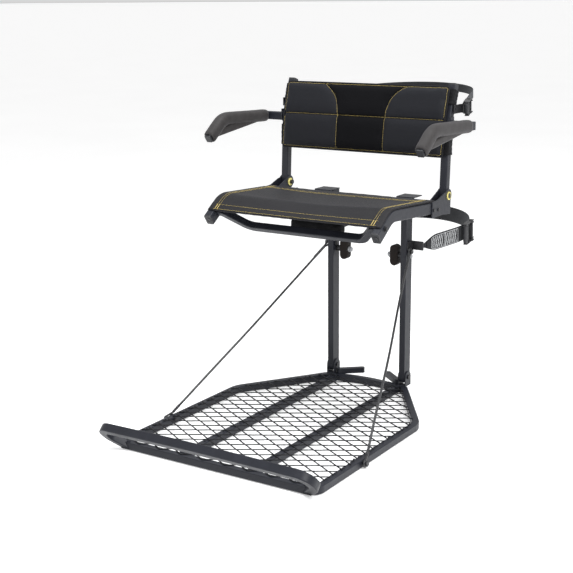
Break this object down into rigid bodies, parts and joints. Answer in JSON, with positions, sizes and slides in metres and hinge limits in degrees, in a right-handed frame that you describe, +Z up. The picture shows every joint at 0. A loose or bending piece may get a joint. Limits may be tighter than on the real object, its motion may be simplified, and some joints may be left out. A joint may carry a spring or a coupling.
{
  "type": "hang-on tree stand",
  "caption": "Hang-on tree stand: folding mesh platform on a twin-post mast with a flip-up sling seat, padded backrest, flip-up arms, stay cables and ratchet tree straps.",
  "frame": {"origin": "top plane of the platform tubes, midway between the two posts, in the plane of the posts' front faces", "axes": "+X is to the right as seen from in front, +Y points to the tree, +Z is up"},
  "size_m": [0.6974, 1.2977, 0.9193],
  "materials": {
    "frame_steel": "satin charcoal powder coat",
    "deck_steel": "satin charcoal powder coat on expanded metal",
    "black_hardware": "black oxide",
    "zinc_hardware": "bright zinc plate",
    "cap_plastic": "black moulded plug",
    "grip_foam": "closed-cell foam sleeve",
    "bushing_nylon": "ivory-yellow nylon",
    "pad_fabric": "black woven polyester over foam",
    "sling_fabric": "black coated open weave",
    "webbing": "black polyester webbing",
    "paddle_rubber": "brown-black moulded rubber",
    "cable_jacket": "vinyl-coated wire rope"
  },
  "bodies": {
    "mast": {"post_left": "frame_steel", "post_right": "frame_steel", "mast_crossbar": "frame_steel", "post_top_brackets": "frame_steel", "end_bracket_left": "frame_steel", "end_bracket_right": "frame_steel", "upright_left": "frame_steel", "upright_right": "frame_steel", "upright_caps": "cap_plastic", "back_crossbar": "frame_steel", "back_pad": "pad_fabric", "pad_sleeves": "pad_fabric", "tree_paddle_left": "paddle_rubber", "tree_paddle_right": "paddle_rubber", "paddle_bolts": "zinc_hardware", "paddle_spacers": "black_hardware", "post_anchor_bolts": "black_hardware", "seat_pivot_bolts": "black_hardware", "cable_left": "cable_jacket", "cable_right": "cable_jacket", "cable_ferrules": "black_hardware", "arm_plates": "zinc_hardware", "strap_hooks": "black_hardware", "lower_strap_web": "webbing", "lower_ratchet_frame": "black_hardware", "upper_strap_web": "webbing", "upper_ratchet_frame": "black_hardware", "ratchet_pins": "zinc_hardware"},
    "platform": {"platform_frame": "frame_steel", "platform_bar_left": "frame_steel", "platform_bar_right": "frame_steel", "boot_rail": "frame_steel", "platform_mesh": "deck_steel", "foot_clevis_left": "frame_steel", "foot_clevis_right": "frame_steel", "platform_hinge_bolts": "black_hardware", "lower_tree_bars": "frame_steel", "cable_anchor_bolts": "black_hardware"},
    "seat": {"seat_rail_left": "frame_steel", "seat_rail_right": "frame_steel", "seat_rail_caps": "cap_plastic", "seat_front_bar": "frame_steel", "hinge_bracket_left": "frame_steel", "hinge_bracket_right": "frame_steel", "pivot_bushings": "bushing_nylon", "bracket_rivets": "black_hardware", "rail_bolts": "zinc_hardware", "seat_sling": "sling_fabric", "under_seat_pouch": "sling_fabric"},
    "arm_left": {"arm_tube_left": "frame_steel", "arm_grip_left": "grip_foam", "arm_cap_left": "cap_plastic", "arm_bolt_left": "black_hardware"},
    "arm_right": {"arm_tube_right": "frame_steel", "arm_grip_right": "grip_foam", "arm_cap_right": "cap_plastic", "arm_bolt_right": "black_hardware"},
    "lower_handle": {"lower_ratchet_handle": "zinc_hardware"},
    "upper_handle": {"upper_ratchet_handle": "zinc_hardware"}
  },
  "joints": [
    {"name": "platform_fold", "type": "hinge", "parent": "mast", "child": "platform", "pos_m": [0, 0.019, 0.027], "axis": [-1, 0, 0], "range_deg": [0, 62], "deforming": ["cable_left", "cable_right", "cable_ferrules"]},
    {"name": "seat_flip", "type": "hinge", "parent": "mast", "child": "seat", "pos_m": [0, -0.028, 0.592], "axis": [-1, 0, 0], "range_deg": [0, 66.5]},
    {"name": "arm_left_flip", "type": "hinge", "parent": "mast", "child": "arm_left", "pos_m": [-0.3, -0.017, 0.787], "axis": [-1, 0, 0], "range_deg": [0, 95]},
    {"name": "arm_right_flip", "type": "hinge", "parent": "mast", "child": "arm_right", "pos_m": [0.3, -0.017, 0.787], "axis": [-1, 0, 0], "range_deg": [0, 95]},
    {"name": "lower_ratchet_open", "type": "hinge", "parent": "mast", "child": "lower_handle", "pos_m": [0.21816, 0.25531, 0.44043], "axis": [0, -0.0663, 0.9978], "range_deg": [0, 100]},
    {"name": "upper_ratchet_open", "type": "hinge", "parent": "mast", "child": "upper_handle", "pos_m": [0.28238, 0.07637, 0.83155], "axis": [0, -0.0663, 0.9978], "range_deg": [0, 100]}
  ],
  "couplings": [
    {"joint": "seat_flip", "follows": "platform_fold", "ratio": 1.07}
  ]
}
